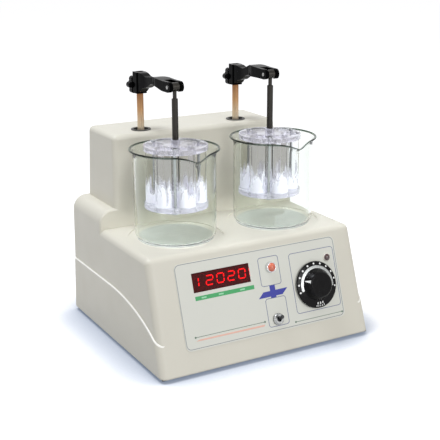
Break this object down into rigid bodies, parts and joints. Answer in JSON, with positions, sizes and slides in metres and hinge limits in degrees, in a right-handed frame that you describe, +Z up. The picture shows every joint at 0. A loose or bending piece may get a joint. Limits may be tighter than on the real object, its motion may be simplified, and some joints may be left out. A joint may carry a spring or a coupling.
{
  "type": "tablet disintegration tester",
  "caption": "Bench tester with a sloped panel and a rear column whose rods dip two tube racks into glass beakers on hot plates.",
  "frame": {"origin": "middle of the ground plan, at the level of the soles of the feet", "axes": "+Z up, +X to the right of someone facing the control panel, which faces -Y"},
  "size_m": [0.308, 0.285, 0.3468],
  "materials": {
    "housing": "moulded, satin cream",
    "base": "grey powder coat",
    "zinc": "zinc plated",
    "rubber": "matt",
    "panel_sheet": "printed film",
    "display_red": "dark red filter",
    "board": "solder resist",
    "digits": "diffused",
    "chrome": "bright",
    "lens_orange": "clear lens",
    "bezel_pale": "satin",
    "lens_dark": "clear lens",
    "switch_black": "gloss",
    "switch_case": "moulded",
    "knob_black": "phenolic gloss",
    "can": "plated",
    "steel": "turned",
    "plate_aluminium": "brushed",
    "heater_mica": "mica sheet",
    "bush_grey": "satin",
    "motor": "die cast",
    "disc_brass": "machined",
    "transformer_iron": "varnished",
    "rod_brass": "worn lacquer",
    "cast_black": "black enamel",
    "clamp_knob_black": "moulded",
    "hanger_steel": "dark steel",
    "clear_plastic": "clear acrylic",
    "tube_glass": "clear",
    "gauze_steel": "woven wire",
    "beaker_glass": "clear borosilicate"
  },
  "bodies": {
    "housing": {"housing_shell": "housing", "base_plate": "base", "case_screws": "zinc", "rubber_feet": "rubber", "front_panel_sheet": "panel_sheet", "display_window": "display_red", "display_board": "board", "display_digits": "digits", "power_lamp_bezel": "chrome", "power_lamp_lens": "lens_orange", "heater_lamp_bezel": "bezel_pale", "heater_lamp_lens": "lens_dark", "switch_body": "switch_case", "switch_nut": "chrome", "thermostat_body": "can", "left_hot_plate": "plate_aluminium", "right_hot_plate": "plate_aluminium", "left_heater": "heater_mica", "right_heater": "heater_mica", "left_rod_bush": "bush_grey", "right_rod_bush": "bush_grey", "guide_bracket": "base", "motor_bracket": "base", "gear_motor": "motor", "control_board": "board", "transformer": "transformer_iron", "mains_inlet": "switch_case", "fuse_holder": "switch_case"},
    "lift": {"left_lift_rod": "rod_brass", "right_lift_rod": "rod_brass", "crossbar": "motor", "yoke_plate": "steel", "left_clamp_arm": "cast_black", "right_clamp_arm": "cast_black", "left_hanger_pin": "steel", "right_hanger_pin": "steel"},
    "crank": {"motor_shaft": "steel", "crank_disc": "disc_brass", "crank_roller": "steel"},
    "power_switch": {"switch_lever": "switch_black"},
    "temperature_dial": {"temperature_knob": "knob_black", "temperature_spindle": "steel"},
    "left_clamp_screw": {"left_clamp_knob": "clamp_knob_black"},
    "left_basket": {"left_hanger_rod": "hanger_steel", "left_hanger_collar": "clear_plastic", "left_upper_plate": "clear_plastic", "left_lower_plate": "clear_plastic", "left_tubes": "tube_glass", "left_tie_bolts": "zinc", "left_gauze": "gauze_steel"},
    "left_beaker_body": {"left_beaker": "beaker_glass"},
    "right_clamp_screw": {"right_clamp_knob": "clamp_knob_black"},
    "right_basket": {"right_hanger_rod": "hanger_steel", "right_hanger_collar": "clear_plastic", "right_upper_plate": "clear_plastic", "right_lower_plate": "clear_plastic", "right_tubes": "tube_glass", "right_tie_bolts": "zinc", "right_gauze": "gauze_steel"},
    "right_beaker_body": {"right_beaker": "beaker_glass"}
  },
  "joints": [
    {"name": "lift_slide", "type": "slide", "parent": "housing", "child": "lift", "axis": [0, 0, 1], "range_m": [-0.0275, 0.0275]},
    {"name": "crank_turn", "type": "hinge", "parent": "housing", "child": "crank", "pos_m": [0, 0.0535, 0.113], "axis": [0, -1, 0], "range_deg": [-90, 90]},
    {"name": "power_switch_tilt", "type": "hinge", "parent": "housing", "child": "power_switch", "pos_m": [0.0175, -0.12927, 0.04544], "axis": [1, 0, 0], "range_deg": [0, 30]},
    {"name": "temperature_dial_turn", "type": "hinge", "parent": "housing", "child": "temperature_dial", "pos_m": [0.081, -0.11823, 0.07655], "axis": [0, 0.9483, -0.3173], "range_deg": [0, 270]},
    {"name": "left_clamp_screw_turn", "type": "hinge", "parent": "lift", "child": "left_clamp_screw", "pos_m": [-0.073, 0.0735, 0.323], "axis": [-0.0175, 0.9998, 0], "range_deg": [0, 360]},
    {"name": "left_basket_swing", "type": "hinge", "parent": "lift", "child": "left_basket", "pos_m": [-0.07128, -0.02499, 0.334], "axis": [0.9998, 0.0175, 0], "range_deg": [-1.5, 1.5]},
    {"name": "left_beaker_lift", "type": "slide", "parent": "housing", "child": "left_beaker_body", "axis": [0, 0, 1], "range_m": [0, 0.03]},
    {"name": "right_clamp_screw_turn", "type": "hinge", "parent": "lift", "child": "right_clamp_screw", "pos_m": [0.073, 0.0735, 0.323], "axis": [0.0523, 0.9986, 0], "range_deg": [0, 360]},
    {"name": "right_basket_swing", "type": "hinge", "parent": "lift", "child": "right_basket", "pos_m": [0.06785, -0.02487, 0.3395], "axis": [0.9986, -0.0523, 0], "range_deg": [-1.5, 1.5]},
    {"name": "right_beaker_lift", "type": "slide", "parent": "housing", "child": "right_beaker_body", "axis": [0, 0, 1], "range_m": [0, 0.03]}
  ],
  "couplings": [
    {"joint": "crank_turn", "follows": "lift_slide", "rad_per_m": 57.12}
  ]
}
